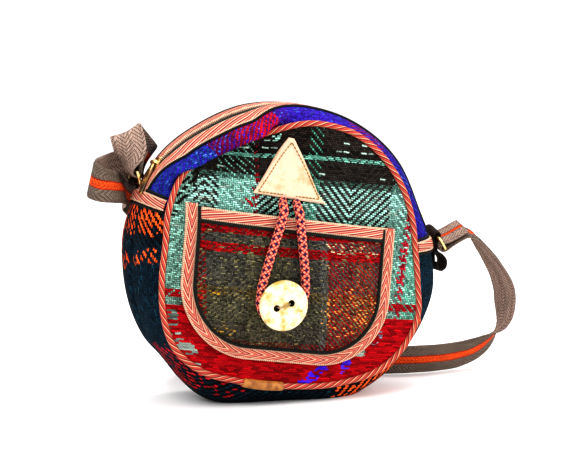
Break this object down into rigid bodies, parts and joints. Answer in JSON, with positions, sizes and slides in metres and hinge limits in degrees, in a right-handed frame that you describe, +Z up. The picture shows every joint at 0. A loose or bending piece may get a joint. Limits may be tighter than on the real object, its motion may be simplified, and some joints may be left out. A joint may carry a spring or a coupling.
{
  "type": "crossbody bag",
  "caption": "Round wool crossbody bag with zipped crown, corded seams, front pocket closed by a cord loop and round button, and a long webbing strap on two wire rings.",
  "frame": {"origin": "middle of the flattened underside that the bag stands on, on the floor", "axes": "+X to the bag's right as seen from the front, +Y from the front pocket to the back panel, +Z up from the floor"},
  "size_m": [0.345, 0.3053, 0.2154],
  "materials": {
    "front_wool": "woven wool twill",
    "back_wool": "woven wool twill",
    "lower_wool": "woven wool twill",
    "crown_wool": "woven wool twill",
    "pocket_wool": "woven wool twill",
    "piping_braid": "corded braid",
    "coral_braid": "flat braid tape",
    "loop_braid": "round braided cord",
    "zip_coil": "dark zip coil",
    "tan_leather": "smooth",
    "cream_leather": "smooth, pale",
    "bone": "polished bone, stained",
    "sewing_thread": "thread",
    "brass": "pale, polished",
    "dark_webbing": "folded webbing",
    "strap_webbing": "herringbone webbing"
  },
  "bodies": {
    "bag": {"front_panel": "front_wool", "back_panel": "back_wool", "front_piping": "piping_braid", "back_piping": "piping_braid", "lower_gusset": "lower_wool", "upper_gusset_front": "crown_wool", "upper_gusset_back": "crown_wool", "zip_braid_front": "coral_braid", "zip_braid_back": "coral_braid", "zip_chain": "zip_coil", "side_braid_left": "coral_braid", "side_braid_right": "coral_braid", "piping_tab": "tan_leather", "pocket_panel": "pocket_wool", "pocket_edge_braid": "coral_braid", "pocket_mouth_braid": "coral_braid", "leather_patch": "cream_leather", "loop_cord": "loop_braid", "button": "bone", "button_thread": "sewing_thread", "ring_left": "brass", "ring_right": "brass", "ring_tab_left": "dark_webbing", "ring_tab_right": "dark_webbing", "strap": "strap_webbing", "zip_slider": "brass"},
    "pull": {"zip_pull": "brass"}
  },
  "joints": [
    {"name": "pull_swing", "type": "hinge", "parent": "bag", "child": "pull", "pos_m": [-0.09348, -0.00481, 0.17618], "axis": [-0.179, 0.9742, -0.1377], "range_deg": [0, 150]}
  ]
}
